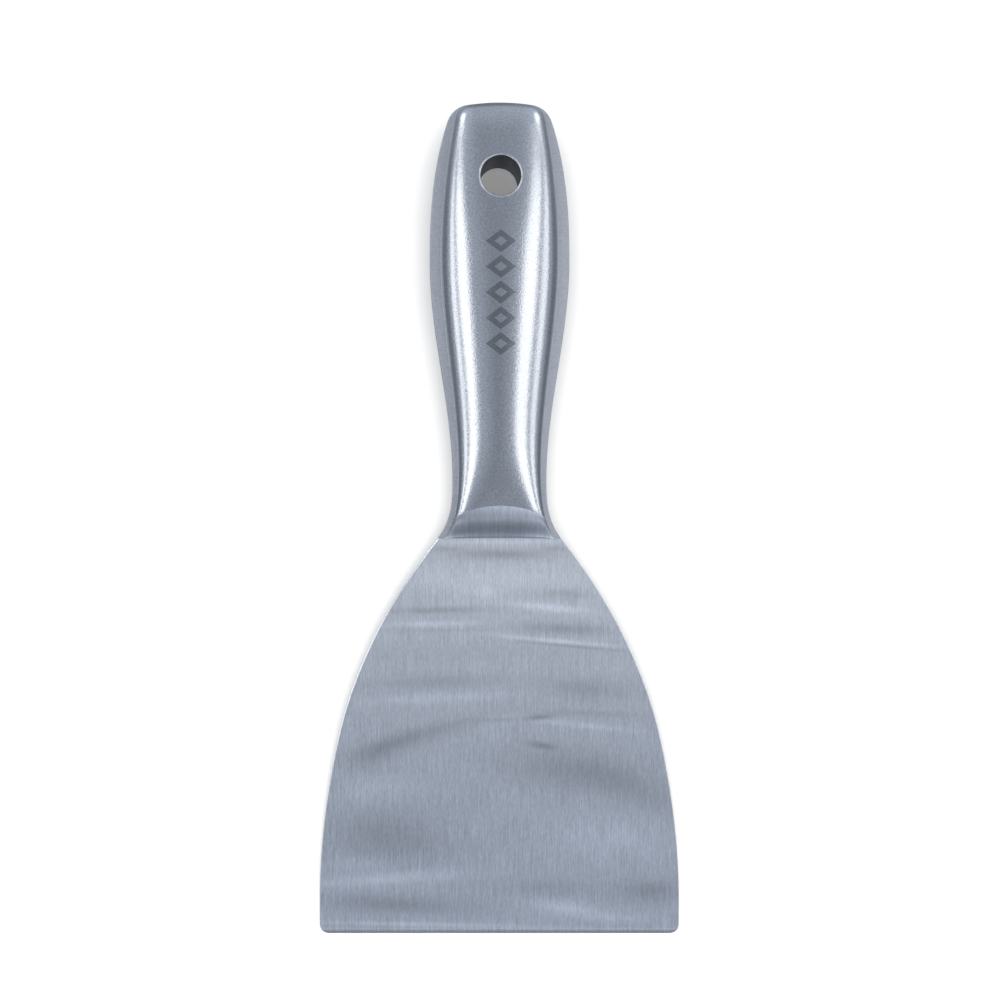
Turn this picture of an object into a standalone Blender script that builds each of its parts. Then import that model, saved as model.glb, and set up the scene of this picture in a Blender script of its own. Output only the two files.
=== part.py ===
"""A wide filling knife, all in stainless steel, with no moving piece.

The blade and its full tang are one plate. Two pressed half shells stand on the tang and make the
hollow handle, and a short tube lines the hanging hole through all three. Metres, +Z up out of the
front face, +Y towards the butt, and the origin in the middle of the bounding box.

"Along" is the distance from the butt towards the working edge, and "across" is the distance from
the centre line. A knot is (along, value, slope) on a smooth curve.
"""

import math

import bmesh
import bpy

MM = 0.001
FACE_GAP = 0.3 * MM  # between two pieces that touch on the real knife

# The blade and its tang, one plate
BLADE_LENGTH = 110.0 * MM  # foot of the handle to the working edge
BLADE_WIDTH = 100.0 * MM  # at the working edge
TANG_THICKNESS = 1.5 * MM
EDGE_THICKNESS = 0.7 * MM  # the blade tapers to this where its bevel starts
BEVEL_LENGTH = 1.4 * MM
BEVEL_DEPTH = 0.2 * MM  # ground off each face at the working edge
EDGE_CORNER = 2.4 * MM  # radius of the two corners of the working edge
PARALLEL_LENGTH = 9.0 * MM  # the last stretch of the blade, at full width

# The handle's outline, which tang and shells share
HANDLE_LENGTH = 121.0 * MM  # butt to the foot of the ramp
HANDLE_WIDTH = 38.8 * MM  # at the palm swell
NECK_WIDTH = 26.0 * MM
FOOT_WIDTH = 34.4 * MM  # where the ramp ends on the blade
BUTT_WIDTH = 25.2 * MM
BUTT_CROWN = 1.0 * MM  # how far the middle of the butt stands out
BUTT_CORNER = 4.2 * MM
SWELL_AT = 44.0 * MM
NECK_BACK = 16.5 * MM  # from the foot back to the neck

# The pressed shells
SHEET = 0.8 * MM
HANDLE_THICKNESS = 18.0 * MM  # over both shells, at the swell
BUTT_THICKNESS = 16.0 * MM
NECK_THICKNESS = 13.0 * MM
RAMP_TOP_THICKNESS = 11.8 * MM
RAMP_LENGTH = 9.0 * MM
BUTT_FLANGE = 0.9 * MM  # width of the flat rim round the pressed dome
SWELL_FLANGE = 3.3 * MM
NECK_FLANGE = 1.4 * MM
BUTT_FAN = 9.0 * MM  # the end wall's sections run in to a point this far from the butt

# The hanging tube
HOLE_DIAMETER = 11.0 * MM
TUBE_WALL = 0.6 * MM
HOLE_AT = 21.5 * MM

# Mesh fineness
BUTT_STEPS = 3
CORNER_STEPS = 5
SIDE_STEPS = 26
FLANK_STEPS = 30
EDGE_CORNER_STEPS = 5
SECTION_STEPS = 9
TUBE_STEPS = 48

TOTAL_LENGTH = HANDLE_LENGTH + BLADE_LENGTH
NECK_AT = HANDLE_LENGTH - NECK_BACK
RAMP_AT = HANDLE_LENGTH - RAMP_LENGTH
BEVEL_AT = TOTAL_LENGTH - BEVEL_LENGTH
SHELL_BASE = TANG_THICKNESS / 2 + FACE_GAP  # underside of a flange, above the middle plane
FLANGE_TOP = SHELL_BASE + SHEET
TUBE_RADIUS = HOLE_DIAMETER / 2 + TUBE_WALL

OUTLINE = (
    (0.0, BUTT_WIDTH / 2, 0.40),
    (SWELL_AT, HANDLE_WIDTH / 2, 0.0),
    (NECK_AT, NECK_WIDTH / 2, 0.0),
    (HANDLE_LENGTH, FOOT_WIDTH / 2, 0.76),
    (HANDLE_LENGTH + 28.0 * MM, BLADE_WIDTH / 2 - 14.9 * MM, 0.48),
    (HANDLE_LENGTH + 54.0 * MM, BLADE_WIDTH / 2 - 5.55 * MM, 0.225),
    (TOTAL_LENGTH - PARALLEL_LENGTH, BLADE_WIDTH / 2, 0.0),
    (TOTAL_LENGTH, BLADE_WIDTH / 2, 0.0),
)
CROWN_HEIGHT = (
    (0.0, BUTT_THICKNESS / 2, 0.03),
    (SWELL_AT, HANDLE_THICKNESS / 2, 0.0),
    (NECK_AT, NECK_THICKNESS / 2, -0.03),
    (RAMP_AT, RAMP_TOP_THICKNESS / 2, -0.12),
    (HANDLE_LENGTH, FLANGE_TOP, -0.85),
)
FLANGE_WIDTH = (
    (0.0, BUTT_FLANGE, 0.17),
    (SWELL_AT, SWELL_FLANGE, 0.02),
    (NECK_AT, NECK_FLANGE, -0.02),
    (HANDLE_LENGTH, NECK_FLANGE, 0.0),
)
# How full a cross-section is: 2 is an ellipse, and a higher value has a flatter top
SECTION_POWER = (
    (0.0, 4.2, -40.0),
    (SWELL_AT, 2.15, -10.0),
    (NECK_AT - 15.0 * MM, 1.95, 0.0),
    (NECK_AT, 2.6, 120.0),
    (HANDLE_LENGTH, 7.0, 250.0),
)


def smooth(knots, along):
    """The value at a place on the cubic curve through the knots."""
    for (start, low, low_slope), (end, high, high_slope) in zip(knots, knots[1:]):
        if along <= end or end == knots[-1][0]:
            break
    span = end - start
    t = (along - start) / span
    blend = t * t * (3 - 2 * t)
    return (
        low * (1 - blend)
        + high * blend
        + low_slope * span * t * (1 - t) ** 2
        - high_slope * span * t * t * (1 - t)
    )


def spread(start, end, steps):
    return [start + (end - start) * i / steps for i in range(steps + 1)]


def half_width(along):
    """The outline's distance from the centre line, with the working edge's round corners."""
    width = smooth(OUTLINE, along)
    into_corner = along - (TOTAL_LENGTH - EDGE_CORNER)
    if into_corner > 0:
        width += math.sqrt(max(0.0, EDGE_CORNER**2 - into_corner**2)) - EDGE_CORNER
    return width


def butt_points():
    """(across, along) from the middle of the crowned butt to the end of its rounded corner."""
    half = BUTT_WIDTH / 2
    points = []
    for across in spread(0.0, half - BUTT_CORNER, BUTT_STEPS):
        points.append((across, BUTT_CROWN * (across / half) ** 2))
    first, tip = points[-1], (half_width(BUTT_CROWN), BUTT_CROWN)
    last_along = BUTT_CROWN + BUTT_CORNER
    last = (half_width(last_along), last_along)
    for t in spread(0.0, 1.0, CORNER_STEPS)[1:]:
        weights = ((1 - t) ** 2, 2 * t * (1 - t), t * t)
        points.append(
            tuple(sum(w * p[i] for w, p in zip(weights, (first, tip, last))) for i in (0, 1))
        )
    return points


def handle_points():
    """(across, along) down one side of the handle, from the middle of the butt to the foot."""
    points = butt_points()
    alongs = spread(points[-1][1], HANDLE_LENGTH, SIDE_STEPS)[1:]
    return points + [(half_width(along), along) for along in alongs]


def blade_points():
    """(across, along) down one side of the blade, from below the foot to the working edge."""
    corner_at = TOTAL_LENGTH - EDGE_CORNER
    alongs = set(spread(HANDLE_LENGTH, corner_at, FLANK_STEPS)[1:])
    for t in spread(0.0, math.pi / 2, EDGE_CORNER_STEPS)[1:]:
        alongs.add(corner_at + EDGE_CORNER * math.sin(t))
    alongs.add(BEVEL_AT)
    return [(half_width(along), along) for along in sorted(alongs)]


def place(across, along, height):
    """A point in the knife's own frame."""
    return across, TOTAL_LENGTH / 2 - along, height


def steel(name, colour, roughness):
    material = bpy.data.materials.new(name)
    material.use_nodes = True
    shader = material.node_tree.nodes["Principled BSDF"]
    shader.inputs["Base Color"].default_value = (*colour, 1.0)
    shader.inputs["Metallic"].default_value = 1.0
    shader.inputs["Roughness"].default_value = roughness
    return material


def add_object(name, mesh_maker, material=None):
    """A new object with the faces that mesh_maker adds to an empty bmesh."""
    made = bmesh.new()
    mesh_maker(made)
    mesh = bpy.data.meshes.new(name)
    made.to_mesh(mesh)
    made.free()
    result = bpy.data.objects.new(name, mesh)
    bpy.context.scene.collection.objects.link(result)
    if material:
        mesh.materials.append(material)
    return result


def half_thickness(along):
    """Half the plate's thickness: flat tang, tapered blade, then the bevel."""
    if along <= HANDLE_LENGTH:
        return TANG_THICKNESS / 2
    if along <= BEVEL_AT:
        t = (along - HANDLE_LENGTH) / (BEVEL_AT - HANDLE_LENGTH)
        return (TANG_THICKNESS + (EDGE_THICKNESS - TANG_THICKNESS) * t) / 2
    return EDGE_THICKNESS / 2 - BEVEL_DEPTH * (along - BEVEL_AT) / BEVEL_LENGTH


def make_plate(made):
    """The plate, each face in three flat pieces that meet at the foot and at the bevel."""
    right = handle_points() + blade_points()
    middle, sides = right[0], right[1:]
    rows = {}
    for face in (1, -1):
        for hand in (1, -1):
            rows[face, hand] = [
                made.verts.new(place(hand * across, along, face * half_thickness(along)))
                for across, along in sides
            ]
    tips = {face: made.verts.new(place(*middle, face * half_thickness(0.0))) for face in (1, -1)}

    foot = [along for _, along in sides].index(HANDLE_LENGTH)
    bevel = [along for _, along in sides].index(BEVEL_AT)
    for face in (1, -1):
        left, right = rows[face, -1], rows[face, 1]
        stretches = [(0, foot, [tips[face]]), (foot, bevel, []), (bevel, len(sides) - 1, [])]
        for start, end, first in stretches:
            ring = first + left[start : end + 1] + right[start : end + 1][::-1]
            made.faces.new(ring if face > 0 else ring[::-1])
    for hand in (1, -1):
        top = [tips[1]] + rows[1, hand]
        bottom = [tips[-1]] + rows[-1, hand]
        for i in range(len(top) - 1):
            wall = [top[i], bottom[i], bottom[i + 1], top[i + 1]]
            made.faces.new(wall if hand < 0 else wall[::-1])
    end = [rows[1, -1][-1], rows[-1, -1][-1], rows[-1, 1][-1], rows[1, 1][-1]]
    made.faces.new(end)
    bmesh.ops.recalc_face_normals(made, faces=made.faces)


def inset_point(points, i, width):
    """Point i of a side line, moved inwards at right angles to the line."""
    before, after = points[max(i - 1, 0)], points[min(i + 1, len(points) - 1)]
    across, along = after[0] - before[0], after[1] - before[1]
    length = math.hypot(across, along)
    if i == 0:
        across, length = 1.0, 1.0
        along = 0.0
    return (
        points[i][0] - width * along / length,
        points[i][1] + width * across / length,
    )


def shell_lines():
    """For each point of the handle's side, the line of (across, along, height) from its flange's
    edge over the dome to the centre line."""
    points = handle_points()
    lines = []
    for i, (across, along) in enumerate(points):
        foot_across, foot_along = inset_point(points, i, smooth(FLANGE_WIDTH, along))
        if i == len(points) - 1:
            foot_along = along
        ridge_along = along + BUTT_FAN * math.exp(-along / BUTT_FAN)
        line = [(across, along, FLANGE_TOP)]
        for angle in spread(0.0, math.pi / 2, SECTION_STEPS):
            ease = 2 / smooth(SECTION_POWER, along)
            out, up = abs(math.cos(angle)) ** ease, math.sin(angle) ** ease
            if angle == math.pi / 2:
                out = 0.0
            place_along = ridge_along + (foot_along - ridge_along) * out
            rise = smooth(CROWN_HEIGHT, place_along) - FLANGE_TOP
            line.append((foot_across * out, place_along, FLANGE_TOP + rise * up))
        lines.append(line)
    return lines


def make_half_shell(made, face):
    """One half of a shell's outer surface, to be mirrored across the centre line."""
    grid = [
        [made.verts.new(place(across, along, face * height)) for across, along, height in line]
        for line in shell_lines()
    ]
    for near, far in zip(grid, grid[1:]):
        for i in range(len(near) - 1):
            corners = [near[i], near[i + 1], far[i + 1], far[i]]
            made.faces.new(corners if face > 0 else corners[::-1])


def add_hole(target, cutter):
    hole = target.modifiers.new("hanging_hole", "BOOLEAN")
    hole.operation = "DIFFERENCE"
    hole.solver = "EXACT"
    hole.object = cutter


def add_shell(name, face, material, cutter):
    """A pressed shell of even sheet on one face of the tang."""
    shell = add_object(name, lambda made: make_half_shell(made, face), material)
    mirror = shell.modifiers.new("other_half", "MIRROR")
    mirror.merge_threshold = 0.00001
    press = shell.modifiers.new("sheet", "SOLIDIFY")
    press.thickness = SHEET
    press.offset = -1.0
    press.use_even_offset = True
    press.thickness_clamp = 1.0
    add_hole(shell, cutter)
    return shell


def make_tube(made, radius, length, bore=0.0):
    """A round bar on the Z axis, or a tube where it has a bore."""
    rings = []
    for size in (radius, bore) if bore else (radius,):
        for end in (1, -1):
            rings.append(
                [
                    made.verts.new(
                        (
                            size * math.cos(2 * math.pi * i / TUBE_STEPS),
                            size * math.sin(2 * math.pi * i / TUBE_STEPS),
                            end * length / 2,
                        )
                    )
                    for i in range(TUBE_STEPS)
                ]
            )
    if not bore:
        made.faces.new(rings[0])
        made.faces.new(rings[1][::-1])
    joined = [(0, 1)] if not bore else [(0, 1), (1, 3), (3, 2), (2, 0)]
    for a, b in joined:
        for i in range(TUBE_STEPS):
            j = (i + 1) % TUBE_STEPS
            made.faces.new([rings[a][i], rings[b][i], rings[b][j], rings[a][j]])
    bmesh.ops.recalc_face_normals(made, faces=made.faces)


def finish_shading(target):
    target.data.shade_smooth()
    target.data.set_sharp_from_angle(angle=math.radians(35))


def main():
    for found in list(bpy.data.objects):
        bpy.data.objects.remove(found, do_unlink=True)

    brushed = steel("brushed_steel", (0.58, 0.61, 0.66), 0.34)
    satin = steel("satin_steel", (0.55, 0.58, 0.62), 0.30)
    bright = steel("bright_steel", (0.62, 0.64, 0.67), 0.26)

    hole_centre = place(0.0, HOLE_AT, 0.0)
    tube_length = 2 * smooth(CROWN_HEIGHT, HOLE_AT)
    cut_radius = TUBE_RADIUS + FACE_GAP
    cut_length = tube_length + HANDLE_THICKNESS
    cutter = add_object("hole_cutter", lambda made: make_tube(made, cut_radius, cut_length))
    cutter.location = hole_centre
    cutter.hide_render = True
    cutter.display_type = "WIRE"

    blade = add_object("blade", make_plate, brushed)
    add_hole(blade, cutter)
    front = add_shell("front_shell", 1, satin, cutter)
    rear = add_shell("rear_shell", -1, satin, cutter)
    tube = add_object(
        "hanging_tube",
        lambda made: make_tube(made, TUBE_RADIUS, tube_length, HOLE_DIAMETER / 2),
        bright,
    )
    tube.location = hole_centre
    for piece in (blade, front, rear, tube):
        finish_shading(piece)


main()
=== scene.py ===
"""The look of an all-steel filling knife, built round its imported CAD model.

Each CAD node is replaced by a finer piece of the same design: a brushed blade with chamfered sides,
two satin handle shells with a ground ramp and a matt rim, and the tube of the hanging hole.

"Along" is the distance from the butt towards the working edge, and "across" is the distance from
the centre line, both in metres. A knot is (along, value, slope) on a smooth curve. Face 1 is the
front of the knife and face -1 is its rear.
"""

import math

import bmesh
import bpy
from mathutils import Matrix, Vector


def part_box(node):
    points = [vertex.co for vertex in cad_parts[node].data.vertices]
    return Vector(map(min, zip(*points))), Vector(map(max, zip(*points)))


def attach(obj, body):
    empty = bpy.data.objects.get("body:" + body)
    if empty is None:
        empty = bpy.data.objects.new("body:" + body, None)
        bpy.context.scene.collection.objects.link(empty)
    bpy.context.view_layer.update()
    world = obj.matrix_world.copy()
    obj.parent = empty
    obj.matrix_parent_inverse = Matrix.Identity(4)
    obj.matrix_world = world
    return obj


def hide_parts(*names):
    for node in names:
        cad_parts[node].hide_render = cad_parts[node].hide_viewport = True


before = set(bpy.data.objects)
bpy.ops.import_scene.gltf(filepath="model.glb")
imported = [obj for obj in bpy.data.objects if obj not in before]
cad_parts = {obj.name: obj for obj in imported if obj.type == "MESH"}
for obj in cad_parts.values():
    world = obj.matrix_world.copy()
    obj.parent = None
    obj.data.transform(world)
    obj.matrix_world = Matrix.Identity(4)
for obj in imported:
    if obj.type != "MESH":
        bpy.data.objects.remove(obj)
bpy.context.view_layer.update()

MM = 0.001
BODY = "root"

blade_low, blade_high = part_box("blade")
shell_low, shell_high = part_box("front_shell")
tube_low, tube_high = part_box("hanging_tube")

# Sizes that the CAD boxes give
BUTT_Y = blade_high.y
TOTAL_LENGTH = blade_high.y - blade_low.y
BLADE_WIDTH = blade_high.x - blade_low.x
TANG_THICKNESS = blade_high.z - blade_low.z
HANDLE_LENGTH = shell_high.y - shell_low.y
HANDLE_WIDTH = shell_high.x - shell_low.x
HANDLE_THICKNESS = 2 * shell_high.z
HOLE_AT = BUTT_Y - (tube_low.y + tube_high.y) / 2
TUBE_OUTER = (tube_high.x - tube_low.x) / 2

# Sizes of the design that the boxes don't give
EDGE_THICKNESS = 0.7 * MM
BEVEL_LENGTH = 1.4 * MM
BEVEL_DEPTH = 0.2 * MM
EDGE_CORNER = 2.4 * MM
CHAMFER_RUN = 1.9  # how much wider than deep the bright chamfer of the blade's sides is
CHAMFER_DEPTH = 0.22 * MM  # by the handle
CHAMFER_TIP_DEPTH = 0.08 * MM
CHAMFER_FADE = 60.0 * MM  # from the one depth to the other
CHAMFER_SHARE = 0.45  # at most this share of the blade's half thickness
PARALLEL_LENGTH = 9.0 * MM
NECK_WIDTH = 26.0 * MM
FOOT_WIDTH = 34.4 * MM
BUTT_WIDTH = 25.2 * MM
BUTT_CROWN = 1.0 * MM
BUTT_CORNER = 4.2 * MM
SWELL_AT = 44.0 * MM
NECK_AT = HANDLE_LENGTH - 16.5 * MM
BUTT_THICKNESS = 16.0 * MM
NECK_THICKNESS = 13.0 * MM
RAMP_TOP_THICKNESS = 11.8 * MM
RAMP_AT = HANDLE_LENGTH - 9.0 * MM
RAMP_EDGE = RAMP_AT + 2.4 * MM  # where the ground ramp's arched top edge meets the rim
RAMP_ARCH = 2.8 * MM  # how far that edge arches towards the butt on the centre line
RAMP_ARCH_SPREAD = 3.4 * MM
BUTT_FAN = 9.0 * MM  # how far from the butt the dome's sections fan out
TUBE_WALL = 0.6 * MM
FLANGE_TOP = 1.85 * MM
FOOT_TOP = 1.12 * MM  # the ramp is ground down to this above the middle plane at its foot
FOOT_BEVEL = 0.32 * MM
SEAM = 0.03 * MM  # hairline between a shell and the tang
MARK_AT = 36.0 * MM  # the etched mark's end towards the butt
MARK_WIDTH = 9.2 * MM
MARK_PITCH = 7.0 * MM
MARK_COUNT = 5
RIM_ROUND = 0.25 * MM

BEVEL_AT = TOTAL_LENGTH - BEVEL_LENGTH
TUBE_BORE = TUBE_OUTER - TUBE_WALL
SHELL_BASE = TANG_THICKNESS / 2 + SEAM

# How finely the pieces are divided
BLADE_ROWS = 240
BLADE_COLUMNS = 60
EDGE_CORNER_ROWS = 10
BUTT_STEPS = 8
BUTT_CORNER_STEPS = 14
TANG_ROWS = 110
TANG_BORE_STEPS = 64
SHELL_ROWS = 190
RIM_ROUND_STEPS = 3
FILLET_STEPS = 4
DOME_STEPS = 34
RING_STEPS = 6
TUBE_STEPS = 96

OUTLINE = (
    (0.0, BUTT_WIDTH / 2, 0.40),
    (SWELL_AT, HANDLE_WIDTH / 2, 0.0),
    (NECK_AT, NECK_WIDTH / 2, 0.0),
    (HANDLE_LENGTH, FOOT_WIDTH / 2, 0.76),
    (HANDLE_LENGTH + 28.0 * MM, BLADE_WIDTH / 2 - 14.9 * MM, 0.48),
    (HANDLE_LENGTH + 54.0 * MM, BLADE_WIDTH / 2 - 5.55 * MM, 0.225),
    (TOTAL_LENGTH - PARALLEL_LENGTH, BLADE_WIDTH / 2, 0.0),
    (TOTAL_LENGTH, BLADE_WIDTH / 2, 0.0),
)
CROWN_HEIGHT = (
    (0.0, BUTT_THICKNESS / 2, 0.03),
    (SWELL_AT, HANDLE_THICKNESS / 2, 0.0),
    (NECK_AT, NECK_THICKNESS / 2, -0.03),
    (RAMP_AT, RAMP_TOP_THICKNESS / 2, -0.10),
    (RAMP_AT + 2.5 * MM, RAMP_TOP_THICKNESS / 2 - 0.4 * MM, -0.28),
    (RAMP_AT + 5.5 * MM, RAMP_TOP_THICKNESS / 2 - 2.0 * MM, -0.85),
    (HANDLE_LENGTH, FOOT_TOP, -0.55),
)
RIM_HEIGHT = (
    (0.0, FLANGE_TOP, 0.0),
    (NECK_AT, FLANGE_TOP, 0.0),
    (HANDLE_LENGTH, 0.95 * MM, -0.05),
)
RIM_WIDTH = (
    (0.0, 0.5 * MM, 0.40),
    (5.0 * MM, 1.9 * MM, 0.13),
    (SWELL_AT, 3.1 * MM, 0.01),
    (NECK_AT, 1.5 * MM, -0.02),
    (HANDLE_LENGTH, 1.8 * MM, 0.10),
)
FILLET = (
    (0.0, 0.06 * MM, 0.0),
    (SWELL_AT, 0.06 * MM, 0.0),
    (NECK_AT, 0.06 * MM, 0.0),
    (HANDLE_LENGTH, 0.04 * MM, 0.0),
)
SECTION_POWER = (
    (0.0, 4.2, -40.0),
    (SWELL_AT, 2.15, -10.0),
    (NECK_AT - 15.0 * MM, 1.95, 0.0),
    (NECK_AT, 2.6, 120.0),
    (HANDLE_LENGTH, 7.0, 250.0),
)


def smooth(knots, along):
    """The value at a place on the cubic curve through the knots."""
    for (start, low, low_slope), (end, high, high_slope) in zip(knots, knots[1:]):
        if along <= end or end == knots[-1][0]:
            break
    span = end - start
    t = (along - start) / span
    blend = t * t * (3 - 2 * t)
    return (
        low * (1 - blend)
        + high * blend
        + low_slope * span * t * (1 - t) ** 2
        - high_slope * span * t * t * (1 - t)
    )


def spread(start, end, steps):
    return [start + (end - start) * i / steps for i in range(steps + 1)]


def half_width(along):
    width = smooth(OUTLINE, along)
    into_corner = along - (TOTAL_LENGTH - EDGE_CORNER)
    if into_corner > 0:
        width += math.sqrt(max(0.0, EDGE_CORNER**2 - into_corner**2)) - EDGE_CORNER
    return width


def butt_points():
    """(across, along) from the middle of the crowned butt to the end of its rounded corner."""
    half = BUTT_WIDTH / 2
    points = []
    for across in spread(0.0, half - BUTT_CORNER, BUTT_STEPS):
        points.append((across, BUTT_CROWN * (across / half) ** 2))
    first, tip = points[-1], (half_width(BUTT_CROWN), BUTT_CROWN)
    last_along = BUTT_CROWN + BUTT_CORNER
    last = (half_width(last_along), last_along)
    for t in spread(0.0, 1.0, BUTT_CORNER_STEPS)[1:]:
        weights = ((1 - t) ** 2, 2 * t * (1 - t), t * t)
        points.append(
            tuple(sum(w * p[i] for w, p in zip(weights, (first, tip, last))) for i in (0, 1))
        )
    return points


def handle_points(steps, last_along):
    """(across, along) down one side of the handle, from the middle of the butt."""
    points = butt_points()
    alongs = spread(points[-1][1], last_along, steps)[1:]
    return points + [(half_width(along), along) for along in alongs]


def hole_point(radius, angle):
    """(across, along) at a place round the hanging hole."""
    return radius * math.cos(angle), HOLE_AT + radius * math.sin(angle)


def turn(steps):
    return [2 * math.pi * k / steps for k in range(steps)]


# ---------------------------------------------------------------- meshes


def add_point(made, across, along, height):
    """A vertex in the frame's own axes."""
    return made.verts.new((across, BUTT_Y - along, height))


def strip(made, first, second):
    """Faces between two open rows of vertices. A vertex that both rows share makes a triangle."""
    faces = []
    for k in range(len(first) - 1):
        corners = (first[k], first[k + 1], second[k + 1], second[k])
        faces.append(made.faces.new(list(dict.fromkeys(corners))))
    return faces


def bridge(made, first, second):
    """Faces between two closed rings of vertices."""
    strip(made, first + first[:1], second + second[:1])


def fill_between(made, outline, hole):
    """A flat face with a hole, as triangles."""
    edges = []
    for loop in (outline, hole):
        for pair in zip(loop, loop[1:] + loop[:1]):
            edges.append(made.edges.get(pair) or made.edges.new(pair))
    bmesh.ops.triangle_fill(made, use_beauty=True, edges=edges)


def new_piece(name, made, materials, cad_node, sharp_angle):
    """An object from a finished bmesh, riding on the only body in place of a CAD node."""
    mesh = bpy.data.meshes.new(name)
    bmesh.ops.recalc_face_normals(made, faces=made.faces)
    made.to_mesh(mesh)
    made.free()
    for each in materials:
        mesh.materials.append(each)
    mesh.shade_smooth()
    mesh.set_sharp_from_angle(angle=math.radians(sharp_angle))
    piece = bpy.data.objects.new(name, mesh)
    bpy.context.scene.collection.objects.link(piece)
    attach(piece, BODY)
    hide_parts(cad_node)
    return piece


def brush_map(piece, ground_slots):
    """A UV map whose U runs across the scratches, for the steels' tangents.

    The scratches of the ground slots run along Y, and those of the others run round the handle.
    """
    mesh = piece.data
    layer = mesh.uv_layers.new(name="brush")
    for face in mesh.polygons:
        side = 1.0 if face.center.x >= 0 else -1.0
        for index in face.loop_indices:
            x, y, z = mesh.vertices[mesh.loops[index].vertex_index].co
            if face.material_index in ground_slots:
                across, along = x + 0.7 * z, y + 0.3 * z
            else:
                across, along = y, side * (abs(x) - abs(z))
            layer.data[index].uv = (0.5 + 3 * across, 0.5 + 3 * along)


def shade(piece, tone_at):
    """Keeps a painted brightness for each vertex, of painted reflection, highlight and shade, which
    the brushed steels read.
    """
    layer = piece.data.attributes.new("painted_light", "FLOAT", "POINT")
    layer.data.foreach_set("value", [tone_at(vertex.co) for vertex in piece.data.vertices])


# ---------------------------------------------------------------- materials


# Features per metre along X, Y and Z
SCRATCHES = (2900.0, 110.0, 110.0)
FINE_SCRATCHES = (3600.0, 700.0, 700.0)
BLADE_CLOUDS = (38.0, 70.0, 40.0)
SATIN_GRAIN = (2000.0, 2600.0, 2000.0)
SATIN_CLOUDS = (60.0, 45.0, 60.0)
TUBE_PATCHES = (900.0, 900.0, 300.0)

NOISE_RANGE = (0.3, 0.7)  # where most values of a noise lie
MARK_RING = 0.64  # the middle of a diamond ring's line, as a share of the diamond
MARK_RING_HALF = 0.26
MARK_TONE = 0.56
MARK_ROUGHNESS = 0.03


class Tree:
    """Short names for wiring a node tree."""

    def __init__(self, tree):
        self.tree = tree

    def new(self, kind, **settings):
        node = self.tree.nodes.new(kind)
        for key, value in settings.items():
            setattr(node, key, value)
        return node

    def link(self, source, target):
        self.tree.links.new(source, target)

    def math(self, operation, first, second=None):
        node = self.new("ShaderNodeMath", operation=operation)
        for socket, value in zip(node.inputs, (first, second)):
            if isinstance(value, float):
                socket.default_value = value
            elif value is not None:
                self.link(value, socket)
        return node.outputs[0]

    def mapped(self, value, source, target, **settings):
        """A value brought from the range `source` to the range `target`."""
        node = self.new("ShaderNodeMapRange", **settings)
        for name, end in zip(("From Min", "From Max", "To Min", "To Max"), (*source, *target)):
            node.inputs[name].default_value = end
        self.link(value, node.inputs["Value"])
        return node.outputs["Result"]


class Steel(Tree):
    """A steel whose brightness, roughness and fine bumps come from noises."""

    def __init__(self, name):
        self.material = bpy.data.materials.new(name)
        self.material.use_nodes = True
        super().__init__(self.material.node_tree)
        self.shader = self.tree.nodes["Principled BSDF"]
        self.shader.inputs["Metallic"].default_value = 1.0
        self.coords = self.new("ShaderNodeTexCoord").outputs["Object"]

    def spread_highlights(self, anisotropy):
        """Highlights spread along the U of a piece's "brush" map."""
        tangent = self.new("ShaderNodeTangent", direction_type="UV_MAP", uv_map="brush")
        self.link(tangent.outputs[0], self.shader.inputs["Tangent"])
        self.shader.inputs["Anisotropic"].default_value = anisotropy

    def noise(self, scale, detail, roughness, shift=(0.0, 0.0, 0.0)):
        mapping = self.new("ShaderNodeMapping")
        mapping.inputs["Scale"].default_value = scale
        mapping.inputs["Location"].default_value = shift
        self.link(self.coords, mapping.inputs["Vector"])
        noise = self.new("ShaderNodeTexNoise")
        noise.inputs["Scale"].default_value = 1.0
        noise.inputs["Detail"].default_value = detail
        noise.inputs["Roughness"].default_value = roughness
        self.link(mapping.outputs["Vector"], noise.inputs["Vector"])
        return noise.outputs["Fac"]

    def varied(self, noise, low, high):
        """A noise brought to a range that it may overshoot a little."""
        return self.mapped(noise, NOISE_RANGE, (low, high), clamp=False)

    def bump(self, height, distance, before=None):
        bump = self.new("ShaderNodeBump")
        bump.inputs["Strength"].default_value = 1.0
        bump.inputs["Distance"].default_value = distance
        self.link(height, bump.inputs["Height"])
        if before:
            self.link(before, bump.inputs["Normal"])
        return bump.outputs["Normal"]

    def finish(self, colour, brightness, roughness, normal):
        """The material, with its colour scaled by a brightness."""
        scaled = self.new("ShaderNodeVectorMath", operation="SCALE")
        scaled.inputs[0].default_value = colour
        self.link(brightness, scaled.inputs["Scale"])
        self.link(scaled.outputs[0], self.shader.inputs["Base Color"])
        self.link(roughness, self.shader.inputs["Roughness"])
        self.link(normal, self.shader.inputs["Normal"])
        return self.material


def brushed_steel(name, colour, roughness, anisotropy):
    """Ground along Y, so its scratches are long in Y and its highlights wide in X."""
    steel = Steel(name)
    steel.spread_highlights(anisotropy)
    lines = steel.noise(SCRATCHES, 3.0, 0.65)
    fine = steel.noise(FINE_SCRATCHES, 2.0, 0.5, (3.1, 1.7, 0.4))
    clouds = steel.noise(BLADE_CLOUDS, 3.0, 0.55, (0.7, 0.2, 0.9))
    grain = steel.math("MULTIPLY", steel.varied(lines, 0.86, 1.14), steel.varied(fine, 0.90, 1.10))
    grain = steel.math("MULTIPLY", grain, steel.varied(clouds, 0.98, 1.02))
    # Painted reflection, highlight and shade, kept per vertex, scale the colour.
    painted_light = steel.new("ShaderNodeAttribute", attribute_name="painted_light").outputs["Fac"]
    brightness = steel.math("MULTIPLY", grain, painted_light)
    rough = steel.varied(lines, roughness - 0.03, roughness + 0.03)
    normal = steel.bump(fine, 0.000002, before=steel.bump(lines, 0.000004))
    return steel.finish(colour, brightness, rough, normal)


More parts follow.
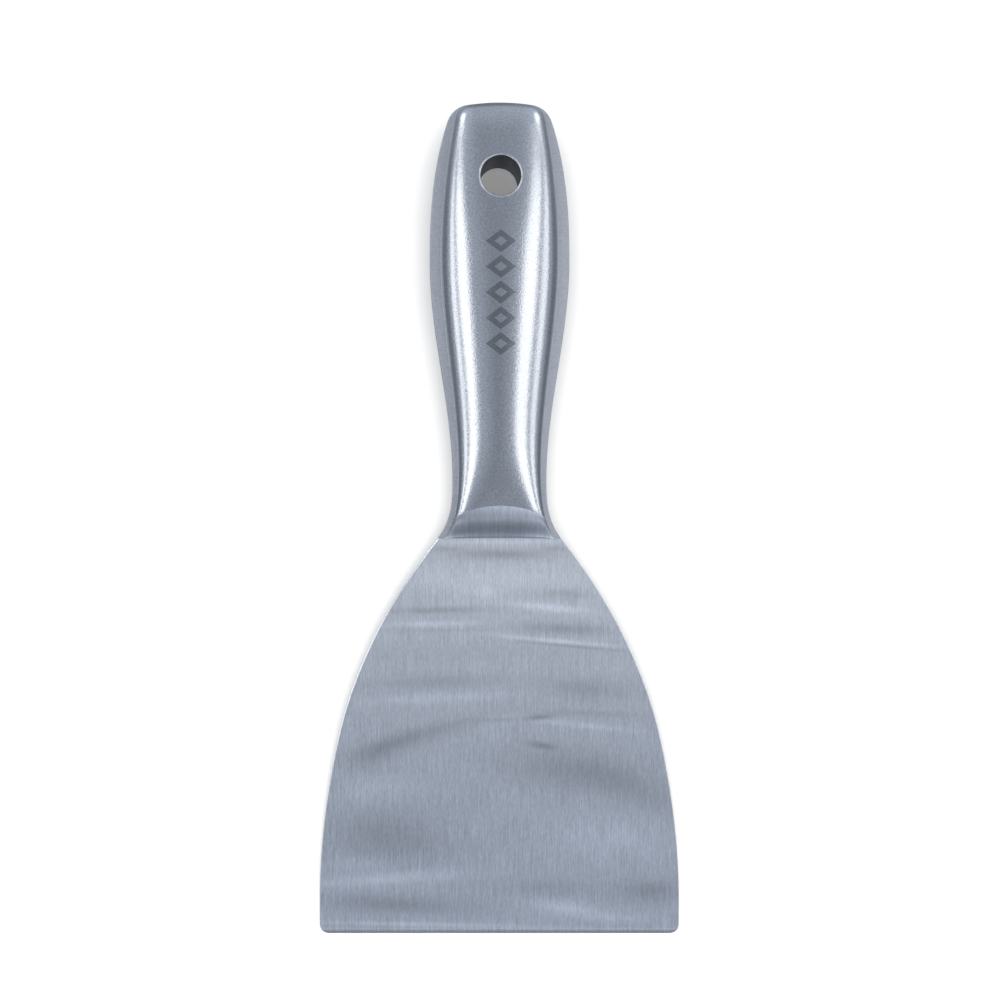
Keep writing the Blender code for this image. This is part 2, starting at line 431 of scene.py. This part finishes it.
def mark_share(steel):
    """1 inside the etched mark, a plain column of diamond rings, and 0 elsewhere."""
    axes = steel.new("ShaderNodeSeparateXYZ")
    steel.link(steel.coords, axes.inputs[0])
    sideways = steel.math("DIVIDE", steel.math("ABSOLUTE", axes.outputs["X"]), MARK_WIDTH / 2)
    steps = steel.math("SUBTRACT", BUTT_Y - MARK_AT, axes.outputs["Y"])
    steps = steel.math("DIVIDE", steps, MARK_PITCH)
    within = steel.math("SUBTRACT", steel.math("FRACT", steps), 0.5)
    lengthways = steel.math("MULTIPLY", steel.math("ABSOLUTE", within), 2.0)
    outward = steel.math("ADD", sideways, lengthways)
    off_ring = steel.math("ABSOLUTE", steel.math("SUBTRACT", outward, MARK_RING))
    off_middle = steel.math("ABSOLUTE", steel.math("SUBTRACT", steps, MARK_COUNT / 2))
    ring = steel.math("LESS_THAN", off_ring, MARK_RING_HALF)
    inside = steel.math("LESS_THAN", off_middle, MARK_COUNT / 2)
    return steel.math("MULTIPLY", ring, inside)


def satin_steel(name, colour, roughness, anisotropy=0.0, marked=False):
    """Polished round the handle to a fine grain."""
    steel = Steel(name)
    steel.spread_highlights(anisotropy)
    grain = steel.noise(SATIN_GRAIN, 2.0, 0.6)
    clouds = steel.varied(steel.noise(SATIN_CLOUDS, 3.0, 0.55), 0.98, 1.02)
    brightness = steel.math("MULTIPLY", steel.varied(grain, 0.87, 1.13), clouds)
    rough = steel.varied(grain, roughness - 0.02, roughness + 0.02)
    if marked:
        mark = mark_share(steel)
        etched = steel.mapped(mark, (0.0, 1.0), (1.0, MARK_TONE))
        brightness = steel.math("MULTIPLY", brightness, etched)
        rough = steel.math("ADD", rough, steel.math("MULTIPLY", mark, MARK_ROUGHNESS))
    return steel.finish(colour, brightness, rough, steel.bump(grain, 0.000026))


def tube_steel(name, colour, roughness):
    """Bright at the cut ends, dull and dark down the bore."""
    steel = Steel(name)
    dull = steel.noise(TUBE_PATCHES, 3.0, 0.6)
    rough = steel.varied(dull, roughness - 0.05, roughness + 0.08)
    return steel.finish(colour, steel.varied(dull, 0.85, 1.1), rough, steel.bump(dull, 0.00001))


# ---------------------------------------------------------------- blade

BRUSHED_SLOT, FLANK_SLOT = 0, 1  # materials of the blade


def half_thickness(along):
    if along <= HANDLE_LENGTH:
        return TANG_THICKNESS / 2
    if along <= BEVEL_AT:
        t = (along - HANDLE_LENGTH) / (BEVEL_AT - HANDLE_LENGTH)
        return (TANG_THICKNESS + (EDGE_THICKNESS - TANG_THICKNESS) * t) / 2
    return EDGE_THICKNESS / 2 - BEVEL_DEPTH * (along - BEVEL_AT) / BEVEL_LENGTH


def chamfer_depth(along):
    """How deep the bright chamfer of the blade's sides is."""
    t = min(1.0, max(0.0, (along - HANDLE_LENGTH) / CHAMFER_FADE))
    depth = CHAMFER_DEPTH + (CHAMFER_TIP_DEPTH - CHAMFER_DEPTH) * t
    return min(depth, CHAMFER_SHARE * half_thickness(along))


# The hand-ground blade's face has soft undulations, and the bright and dark bands that they reflect
# are painted into its colour: painted reflection. Each band is (across, along, half width, half
# length, rise of along with across, brightness) in mm, and the brightness is in steps of
# REFLECTION_BAND_STEP.
REFLECTION_BAND_STEP = 0.15
REFLECTION_BANDS = (
    (0, 122.0, 16, 0.5, 0.0, 0.9),
    (0.5, 125.4, 13, 1.5, 0.0, -2.0),
    (-15, 123.9, 5, 0.7, 0.0, -1.2),
    (16, 123.8, 5, 0.7, 0.0, -1.2),
    (-2, 132.5, 26, 3.4, 0.0, 0.9),
    (-4, 136.0, 4, 1.4, 0.0, 1.0),
    (-17, 141.0, 13, 0.9, -0.02, -1.6),
    (-19, 144.8, 12, 0.8, -0.02, 1.6),
    (-17, 146.6, 14, 0.5, 0.0, -0.6),
    (18, 136.4, 7, 1.4, 0.05, -1.2),
    (14, 140.2, 11, 1.1, 0.10, 2.2),
    (18, 146.2, 12, 1.5, 0.04, -1.7),
    (17, 149.6, 17, 0.6, 0.09, 2.0),
    (20, 151.0, 14, 0.4, 0.09, -1.4),
    (-5, 153.0, 34, 2.5, 0.0, -0.4),
    (-17, 161.0, 18, 2.0, -0.05, -1.1),
    (-17, 165.6, 20, 1.3, -0.05, 1.0),
    (24, 162.8, 12, 2.8, 0.06, -1.1),
    (26, 169.8, 13, 0.9, 0.04, -1.0),
    (22, 173.0, 20, 0.8, 0.10, 1.2),
    (11, 170.9, 4, 0.8, -0.12, -2.3),
    (2, 171.4, 7, 0.5, -0.04, -0.8),
    (12, 178.7, 4, 1.0, 0.16, -2.0),
    (-20, 175.0, 17, 2.2, -0.27, -1.2),
    (-34, 180.5, 9, 3.2, -0.30, -1.6),
    (-36, 191.0, 12, 4.0, -0.10, 0.7),
    (20, 185.5, 17, 5.5, 0.10, -1.4),
    (38, 191.0, 13, 5.0, 0.35, -1.1),
    (-31, 204.5, 17, 7.0, 0.10, -1.5),
    (32, 205.0, 18, 6.0, 0.10, 0.9),
    (-31, 215.8, 19, 1.8, -0.07, 1.6),
    (-40, 211.5, 10, 1.6, 0.0, 0.8),
    (-30, 223.0, 21, 2.6, 0.05, -1.6),
    (12, 218.5, 14, 2.5, 0.02, -0.8),
    (42, 219.3, 9, 3.2, 0.0, -1.7),
    (18, 223.8, 9, 1.8, 0.12, 1.9),
    (32, 226.6, 12, 1.4, 0.05, 1.0),
    (-20, 228.6, 32, 0.6, 0.02, 1.6),
)
BEVEL_PAINTED_SHADE = 0.35  # the bevel's painted shade, at the working edge itself


def bell(*offsets):
    """1 in the middle, fading smoothly to 0 a few units away."""
    return math.exp(-sum(offset**2 for offset in offsets))


def blade_painted_light(point):
    """How bright the painted reflection bands and the bevel's painted shade make a place on the
    blade.
    """
    across, along = point.x / MM, (BUTT_Y - point.y) / MM
    tone = 1.0
    for middle, centre, half_across, half_along, rise, brightness in REFLECTION_BANDS:
        offset = across - middle
        beyond = along - centre - rise * offset
        tone += REFLECTION_BAND_STEP * brightness * bell(offset / half_across, beyond / half_along)
    # The bevel is painted darker towards the working edge: painted shade.
    into_bevel = max(0.0, (BUTT_Y - point.y - BEVEL_AT) / BEVEL_LENGTH)
    return tone * (1 + (BEVEL_PAINTED_SHADE - 1) * into_bevel)


def blade_alongs():
    """Where the blade's rows are: evenly spaced, then by angle round the working edge's corners."""
    corner_at = TOTAL_LENGTH - EDGE_CORNER
    alongs = set(spread(HANDLE_LENGTH, corner_at, BLADE_ROWS))
    angles = spread(0.0, math.pi / 2, EDGE_CORNER_ROWS)
    alongs |= {corner_at + EDGE_CORNER * math.sin(angle) for angle in angles}
    return sorted(alongs | {BEVEL_AT})


def blade_row(along):
    """(across, height) from side to side of the blade's front, with a chamfer at both ends."""
    half, thick, cut = half_width(along), half_thickness(along), chamfer_depth(along)
    flat = [(f * (half - CHAMFER_RUN * cut), thick) for f in spread(-1.0, 1.0, BLADE_COLUMNS)]
    return [(-half, thick - cut), *flat, (half, thick - cut)]


def add_blade(made):
    """The blade from the ramp's foot to the working edge. Gives its first row on each face."""
    rows = {1: [], -1: []}
    for along in blade_alongs():
        for face in (1, -1):
            row = [add_point(made, x, along, face * z) for x, z in blade_row(along)]
            rows[face].append(row)
    for face in (1, -1):
        for near, far in zip(rows[face], rows[face][1:]):
            faces = strip(made, near, far)
            faces[0].material_index = faces[-1].material_index = FLANK_SLOT
    for side in (0, -1):
        strip(made, [row[side] for row in rows[1]], [row[side] for row in rows[-1]])
    strip(made, rows[1][-1], rows[-1][-1])
    return {face: rows[face][0] for face in (1, -1)}


def add_tang(made, feet):
    """The tang, hidden but for its rim, joined to the blade's first rows."""
    butt, *side = handle_points(TANG_ROWS, HANDLE_LENGTH)[:-1]
    rims, bores = {}, {}
    for face in (1, -1):
        height = face * TANG_THICKNESS / 2
        right, left = ([add_point(made, hand * x, s, height) for x, s in side] for hand in (1, -1))
        middle = [add_point(made, *butt, height)]
        rims[face] = middle + right + feet[face][::-1] + left[::-1]
        holes = [hole_point(TUBE_OUTER + SEAM, angle) for angle in turn(TANG_BORE_STEPS)]
        bores[face] = [add_point(made, x, s, height) for x, s in holes]
        fill_between(made, rims[face], bores[face])
    bridge(made, bores[1], bores[-1])
    length = len(side) + 2
    strip(made, rims[1][:length], rims[-1][:length])
    left_sides = [rims[face][:1] + rims[face][: -length : -1] for face in (1, -1)]
    strip(made, *left_sides)


def make_blade(materials):
    made = bmesh.new()
    add_tang(made, add_blade(made))
    piece = new_piece("blade_plate", made, materials, "blade", 24.0)
    brush_map(piece, (BRUSHED_SLOT, FLANK_SLOT))
    # The blade's painted reflection bands and the bevel's painted shade.
    shade(piece, blade_painted_light)


# ---------------------------------------------------------------- handle shells

RAMP_SLOT, RIM_SLOT = 1, 2  # materials of a shell, after its satin dome's
RIM_COLUMNS = RIM_ROUND_STEPS + 2  # the first columns of a shell, up to the flat rim's inner end
HOLE_WINDOW = 9.0 * MM  # half of the window in the dome that the hanging hole's rings fill
RING_EASE = 1.3
STEEPEST_RAMP = 0.2  # the least Z of a ramp face's normal
HEIGHT_PASSES = 12  # until the section through a given place is found

# Painted highlight and shade on the ground ramp: it is painted bright at its arched top and at its
# right end, and dark above its foot
RAMP_PAINTED_LIGHT = (
    (RAMP_AT, 1.15, 0.0),
    (RAMP_AT + 4.0 * MM, 0.60, -80.0),
    (RAMP_AT + 6.8 * MM, 0.60, 0.0),
    (HANDLE_LENGTH - 0.9 * MM, 0.78, 160.0),
    (HANDLE_LENGTH, 1.2, 0.0),
)
# A painted highlight towards the ramp's right end.
RIGHT_END_AT, RIGHT_END_SPREAD, RIGHT_END_HIGHLIGHT = 11.0 * MM, 3.5 * MM, 0.30
# A lighter patch near the ramp's left end.
LEFT_PATCH_AT, LEFT_PATCH_RADIUS, LEFT_PATCH_TONE = (-11.8 * MM, HANDLE_LENGTH - 4.4 * MM), 2.2 * MM, 0.22
LEFT_PATCH_FLATNESS = 1.4
LEAN_HIGHLIGHT = 18.0  # painted highlight: how much brighter the arched top is painted for each metre across
LEAN_SPREAD = 3.5 * MM


def ramp_painted_light(point):
    """How bright the ramp is painted, as painted highlight and shade: lighter towards its right end,
    with a lighter patch at its left end.
    """
    across, along = point.x, BUTT_Y - point.y
    beside, beyond = across - LEFT_PATCH_AT[0], LEFT_PATCH_FLATNESS * (along - LEFT_PATCH_AT[1])
    left_patch = LEFT_PATCH_TONE * bell(beside / LEFT_PATCH_RADIUS, beyond / LEFT_PATCH_RADIUS)
    right_end = RIGHT_END_HIGHLIGHT * bell((across - RIGHT_END_AT) / RIGHT_END_SPREAD)
    lean = LEAN_HIGHLIGHT * across * bell(max(0.0, along - RAMP_AT) / LEAN_SPREAD)
    return (smooth(RAMP_PAINTED_LIGHT, max(along, RAMP_AT)) + left_patch) * (1 + right_end + lean)


def inward_at(points, i):
    """The unit direction (across, along) that leads in from the outline at point i."""
    if i == 0:
        return 0.0, 1.0
    if i == len(points) - 1:
        return -1.0, 0.0
    before, after = points[i - 1], points[i + 1]
    across, along = after[0] - before[0], after[1] - before[1]
    length = math.hypot(across, along)
    return -along / length, across / length


def ridge_along(along):
    """Where the section that starts at a place on the rim meets the centre line."""
    fan = BUTT_FAN * math.exp(-along / BUTT_FAN)
    return along + fan - RAMP_ARCH * bell((along - RAMP_EDGE) / RAMP_ARCH_SPREAD)


def dome_height(line_along, place_along, out):
    """The height on the section that starts at line_along, `out` of the way out to its foot."""
    power = smooth(SECTION_POWER, line_along)
    up = max(0.0, 1.0 - abs(out) ** power) ** (1 / power)
    base = smooth(RIM_HEIGHT, line_along) + smooth(FILLET, line_along)
    return base + max(0.0, smooth(CROWN_HEIGHT, place_along) - base) * up


def dome_foot(along):
    """The dome's edge beside a place on the handle's side."""
    step = 0.01 * MM
    slope = (half_width(along + step) - half_width(along - step)) / (2 * step)
    inset = smooth(RIM_WIDTH, along) / math.hypot(1.0, slope)
    return half_width(along) - inset, along + inset * slope


def height_at(across, along):
    """The dome's height over a place away from the butt and the ramp."""
    line = along
    for _ in range(HEIGHT_PASSES):
        foot_across, foot_along = dome_foot(line)
        out = abs(across) / foot_across
        ridge = ridge_along(line)
        line += along - (ridge + (foot_along - ridge) * out**2)
    return dome_height(line, along, out)


def rim_line(points, i):
    """(across, along, height) from the rim's lower edge to the dome's foot."""
    across, along = points[i]
    inward = inward_at(points, i)
    top, fillet = smooth(RIM_HEIGHT, along), smooth(FILLET, along)
    width = smooth(RIM_WIDTH, along)
    rounding = min(RIM_ROUND, 0.4 * (top - SHELL_BASE))

    def at(inset, height):
        return across + inward[0] * inset, along + inward[1] * inset, height

    line = [at(0.0, SHELL_BASE)]
    for angle in spread(0.0, math.pi / 2, RIM_ROUND_STEPS):
        line.append(at(rounding * (1 - math.cos(angle)), top - rounding * (1 - math.sin(angle))))
    for angle in spread(0.0, math.pi / 2, FILLET_STEPS):
        inset, up = width - fillet * (1 - math.sin(angle)), fillet * (1 - math.cos(angle))
        line.append(at(inset, top + up))
    return line


def dome_line(along, foot):
    """(across, along, height) from beyond the dome's foot to the centre line."""
    ridge = ridge_along(along)
    ease = 2 / smooth(SECTION_POWER, along)
    outs = [math.cos(angle) ** ease for angle in spread(0.0, math.pi / 2, DOME_STEPS)[1:-1]]
    line = []
    for out in (*outs, 0.0):
        place_along = ridge + (foot[1] - ridge) * out**2
        line.append((foot[0] * out, place_along, dome_height(along, place_along, out)))
    return line


def shell_line(points, i):
    """(across, along, height) from the rim's lower edge over the dome to the centre line."""
    rim = rim_line(points, i)
    return rim + dome_line(points[i][1], rim[-1])


def add_halves(made, face, lines):
    """The vertices of the right and the left half, which share the butt's and the centre line's."""
    right, left = [], []
    for line in lines:
        right.append([add_point(made, x, s, face * z) for x, s, z in line])
        if left:
            mirrored = [add_point(made, -x, s, face * z) for x, s, z in line[:-1]]
            left.append(mirrored + right[-1][-1:])
        else:
            left.append(right[0])
    return right, left


def hole_window(lines):
    """The first and last row and the first column of the window in the dome."""
    rows = [i for i, line in enumerate(lines) if abs(line[-1][1] - HOLE_AT) < HOLE_WINDOW]
    middle = lines[(rows[0] + rows[-1]) // 2]
    column = min(j for j, point in enumerate(middle) if point[0] < HOLE_WINDOW)
    return rows[0], rows[-1], column


def add_dome(made, halves, window):
    """The faces of both halves, but for the window."""
    first, last, column = window
    for i in range(len(halves[0]) - 1):
        end = column + 1 if first <= i < last else None
        for half in halves:
            strip(made, half[i][:end], half[i + 1][:end])


def window_edge(right, left, window):
    """The vertices round the window, in order."""
    first, last, column = window
    return [
        *right[first][column:],
        *left[first][column:-1][::-1],
        *(line[column] for line in left[first + 1 : last]),
        *left[last][column:],
        *right[last][column:-1][::-1],
        *(line[column] for line in right[last - 1 : first : -1]),
    ]


def add_hole(made, face, edge):
    """Rings from the window's edge to the hanging tube, and down to the shell's underside."""
    rings = [edge]
    for step in range(1, RING_STEPS + 1):
        share = (1 - step / RING_STEPS) ** RING_EASE
        ring = []
        for vert in edge:
            across, along = vert.co.x, BUTT_Y - vert.co.y
            near = hole_point(TUBE_OUTER, math.atan2(along - HOLE_AT, across))
            x, s = near[0] + (across - near[0]) * share, near[1] + (along - near[1]) * share
            ring.append(add_point(made, x, s, face * height_at(x, s)))
        rings.append(ring)
    rings.append([made.verts.new((v.co.x, v.co.y, face * SHELL_BASE)) for v in rings[-1]])
    for outer, inner in zip(rings, rings[1:]):
        bridge(made, outer, inner)
    return rings[-1]


def add_underside(made, face, halves, hole):
    """The small step at the ramp's foot, and the flat underside."""
    right, left = halves
    foot = left[-1][:-1] + right[-1][::-1]
    low = [made.verts.new((v.co.x, v.co.y - FOOT_BEVEL, face * SHELL_BASE)) for v in foot[1:-1]]
    low = foot[:1] + low + foot[-1:]
    strip(made, foot, low)
    outline = [line[0] for line in right] + low[-2:0:-1] + [line[0] for line in left[:0:-1]]
    fill_between(made, outline, hole)


def set_slots(made, halves, ramp_row):
    """Gives the rim and the ground ramp their own materials."""
    lines = [line for half in halves for line in half]
    rim = {vert for line in lines for vert in line[: RIM_COLUMNS + 1]}
    ramp = {vert for half in halves for line in half[ramp_row:] for vert in line}
    made.normal_update()
    for face in made.faces:
        if all(vert in rim for vert in face.verts):
            face.material_index = RIM_SLOT
        elif all(vert in ramp for vert in face.verts) and abs(face.normal.z) > STEEPEST_RAMP:
            face.material_index = RAMP_SLOT


def make_shell(name, face, cad_node, materials):
    made = bmesh.new()
    points = handle_points(SHELL_ROWS, HANDLE_LENGTH - FOOT_BEVEL)
    lines = [shell_line(points, i) for i in range(len(points))]
    window = hole_window(lines)
    halves = add_halves(made, face, lines)
    add_dome(made, halves, window)
    hole = add_hole(made, face, window_edge(*halves, window))
    add_underside(made, face, halves, hole)
    set_slots(made, halves, next(i for i, (_, along) in enumerate(points) if along > RAMP_EDGE))
    piece = new_piece(name, made, materials, cad_node, 40.0)
    brush_map(piece, (RAMP_SLOT,))
    # The ramp's painted highlight and shade.
    shade(piece, ramp_painted_light)


# ---------------------------------------------------------------- hanging tube

LIP_PROFILE = (  # (radius, lift over the dome) from outside the tube to down its bore
    (TUBE_OUTER - 0.02 * MM, -0.6 * MM),
    (TUBE_OUTER - 0.02 * MM, 0.02 * MM),
    (TUBE_OUTER - 0.10 * MM, 0.09 * MM),
    (TUBE_OUTER - 0.24 * MM, 0.11 * MM),
    (TUBE_BORE + 0.20 * MM, 0.06 * MM),
    (TUBE_BORE + 0.06 * MM, -0.06 * MM),
    (TUBE_BORE, -0.30 * MM),
    (TUBE_BORE, -1.2 * MM),
)
BEAD = 0.35  # how unevenly the lip was ground, as a share of its lift
BORE_SLOT = 1


def add_tube_ring(made, face, radius, lift):
    ring = []
    for angle in turn(TUBE_STEPS):
        x, s = hole_point(radius, angle)
        uneven = BEAD * math.sin(5 * angle + 0.7) * math.sin(2 * angle + 0.4) if lift > 0 else 0.0
        ring.append(add_point(made, x, s, face * (height_at(x, s) + lift * (1 + uneven))))
    return ring


def make_tube(materials):
    """The tube's two lips stand a hair over the domes and follow them."""
    made = bmesh.new()
    rings = [add_tube_ring(made, 1, *point) for point in LIP_PROFILE]
    rings += [add_tube_ring(made, -1, *point) for point in LIP_PROFILE[::-1]]
    for near, far in zip(rings, rings[1:] + rings[:1]):
        bridge(made, near, far)
    for face in made.faces:
        radius = max(math.hypot(v.co.x, BUTT_Y - v.co.y - HOLE_AT) for v in face.verts)
        if radius < TUBE_BORE + 0.02 * MM:
            face.material_index = BORE_SLOT
    new_piece("hanging_tube_liner", made, materials, "hanging_tube", 50.0)


# ---------------------------------------------------------------- studio

CAMERA_DISTANCE = 0.430
VIEW_WIDTH = 0.2789  # what the camera sees across the middle plane
CAMERA_SPOT = (-0.021, 0.0052, CAMERA_DISTANCE)
CENTRE_X = 0.0002  # the middle of the picture, to the right of the camera's spot
OVER_KNIFE, PAST_EDGE, PAST_BUTT = (-0.105, 0.29), (-1.0, -0.55), (0.42, 0.95)  # Y from and to
PANELS = (  # name, lean from straight up towards +X, width as an angle, radiance, Y from and to
    ("left_main", -37.5, 18.0, 1.8, OVER_KNIFE),
    ("left_low", -60.0, 14.0, 1.35, OVER_KNIFE),
    ("right_main", 31.5, 19.0, 1.7, OVER_KNIFE),
    ("right_low", 57.5, 16.0, 1.2, OVER_KNIFE),
    ("left_foot", -50.0, 26.0, 1.1, PAST_EDGE),
    ("right_foot", 50.0, 26.0, 1.5, PAST_EDGE),
    ("left_butt", -50.0, 24.0, 2.2, PAST_BUTT),
    ("right_butt", 50.0, 24.0, 1.8, PAST_BUTT),
)
PANEL_COLOUR = (1.0, 0.955, 0.90)
PANEL_DISTANCE = 0.8
PAPER_LIGHT_PLACE = (0.03, 0.9)  # Y and height
PAPER_LIGHT_SIZE = (0.75, 0.75)
PAPER_LIGHT_RADIANCE = 2.8
PAPER_COLOUR = (0.92, 0.92, 0.91, 1.0)
PAPER_HALF = 1.6
PAPER_GAP = 0.05 * MM
ROOM_COLOUR = (0.84, 0.90, 1.0, 1.0)
# The room's brightness along one axis of the view direction: the range, and the values at its ends
ROOM_SIDES = (0.0, 0.32), (0.36, 0.58)
ROOM_PAST_BUTT = (0.0, 0.8), (0.0, 0.25)
ROOM_PAST_EDGE = (-0.06, -0.45), (0.0, 0.20)
ROOM_LOW = (0.22, 0.02), (0.0, -0.30)


def add_camera():
    data = bpy.data.cameras.new("camera")
    data.sensor_width = 36.0
    data.lens = data.sensor_width * CAMERA_DISTANCE / VIEW_WIDTH
    data.shift_x = (CENTRE_X - CAMERA_SPOT[0]) / VIEW_WIDTH
    data.clip_start = 0.01
    camera = bpy.data.objects.new("camera", data)
    camera.location = CAMERA_SPOT
    bpy.context.scene.collection.objects.link(camera)
    bpy.context.scene.camera = camera


def add_panel(name, lean, middle, distance, size, radiance):
    """A soft, even light panel, long in Y, that leans from straight up towards +X."""
    data = bpy.data.lights.new(name, "AREA")
    data.shape = "RECTANGLE"
    data.size, data.size_y = size
    data.energy = radiance * math.pi * size[0] * size[1]
    data.color = PANEL_COLOUR
    panel = bpy.data.objects.new(name, data)
    panel.location = (distance * math.sin(lean), middle, distance * math.cos(lean))
    panel.rotation_euler = (0.0, lean, 0.0)
    panel.visible_camera = False
    bpy.context.scene.collection.objects.link(panel)
    return panel


def add_floor():
    """The paper under the knife, which lies on its rear belly and its working edge."""
    mesh = bpy.data.meshes.new("floor")
    corners = [(x * PAPER_HALF, y * PAPER_HALF, 0) for x, y in ((-1, -1), (1, -1), (1, 1), (-1, 1))]
    mesh.from_pydata(corners, [], [(0, 1, 2, 3)])
    material = bpy.data.materials.new("floor_paper")
    material.use_nodes = True
    shader = material.node_tree.nodes["Principled BSDF"]
    shader.inputs["Base Color"].default_value = PAPER_COLOUR
    shader.inputs["Roughness"].default_value = 1.0
    shader.inputs["Specular IOR Level"].default_value = 0.0
    mesh.materials.append(material)
    floor = bpy.data.objects.new("floor", mesh)
    edge = EDGE_THICKNESS / 2 - BEVEL_DEPTH
    belly = spread(0.0, RAMP_AT, 200)
    steepest = max((smooth(CROWN_HEIGHT, s) - edge) / (TOTAL_LENGTH - s) for s in belly)
    floor.location = (0.0, BUTT_Y - TOTAL_LENGTH, -edge - PAPER_GAP)
    floor.rotation_euler = (-math.atan(steepest), 0.0, 0.0)
    bpy.context.scene.collection.objects.link(floor)
    floor.visible_glossy = False  # so the paper doesn't mirror white in the handle's steep sides
    return floor


def add_lights(floor):
    for name, lean, width, radiance, (start, end) in PANELS:
        size = (2 * PANEL_DISTANCE * math.tan(math.radians(width / 2)), end - start)
        add_panel(name, math.radians(lean), (start + end) / 2, PANEL_DISTANCE, size, radiance)
    # The paper's own light whitens it and leaves the steel as it is.
    paper = add_panel("paper_light", 0.0, *PAPER_LIGHT_PLACE, PAPER_LIGHT_SIZE, PAPER_LIGHT_RADIANCE)
    paper_only = bpy.data.collections.new("paper_only")
    paper_only.objects.link(floor)
    paper.light_linking.receiver_collection = paper_only


def add_room():
    """A dim room: darkest straight above, lighter to the sides and beyond the knife's two ends."""
    world = bpy.data.worlds.new("room")
    world.use_nodes = True
    room = Tree(world.node_tree)
    background = room.tree.nodes["Background"]
    axes = room.new("ShaderNodeSeparateXYZ")
    room.link(room.new("ShaderNodeTexCoord").outputs["Generated"], axes.inputs[0])
    x, y, z = (axes.outputs[name] for name in "XYZ")

    def eased(axis, source, target):
        return room.mapped(axis, source, target, interpolation_type="SMOOTHSTEP")

    total = eased(room.math("ABSOLUTE", x), *ROOM_SIDES)
    for axis, ends in ((y, ROOM_PAST_BUTT), (y, ROOM_PAST_EDGE), (z, ROOM_LOW)):
        total = room.math("ADD", total, eased(axis, *ends))
    background.inputs["Color"].default_value = ROOM_COLOUR
    room.link(total, background.inputs["Strength"])
    bpy.context.scene.world = world


# ---------------------------------------------------------------- the knife in its studio

BRUSHED = ((0.55, 0.59, 0.66), 0.42, 0.80)  # colour, roughness, anisotropy
SATIN = ((0.52, 0.55, 0.60), 0.20, 0.4)

brushed = brushed_steel("blade_brushed", *BRUSHED)
ramp = brushed_steel("ramp_brushed", *BRUSHED)
satin = satin_steel("handle_satin", *SATIN)
flank = satin_steel("flank_bright", (0.58, 0.61, 0.66), 0.20)
marked = satin_steel("handle_satin_marked", *SATIN, marked=True)
matte = satin_steel("rim_matte", (0.43, 0.455, 0.50), 0.50)
lip = tube_steel("tube_lip", (0.60, 0.62, 0.65), 0.25)
bore = tube_steel("tube_bore", (0.09, 0.09, 0.094), 0.45)

make_blade([brushed, flank])
make_shell("front_handle_shell", 1, "front_shell", [marked, ramp, matte])
make_shell("rear_handle_shell", -1, "rear_shell", [satin, ramp, matte])
make_tube([lip, bore])
add_camera()
add_lights(add_floor())
add_room()

bpy.context.scene.view_settings.view_transform = "Standard"
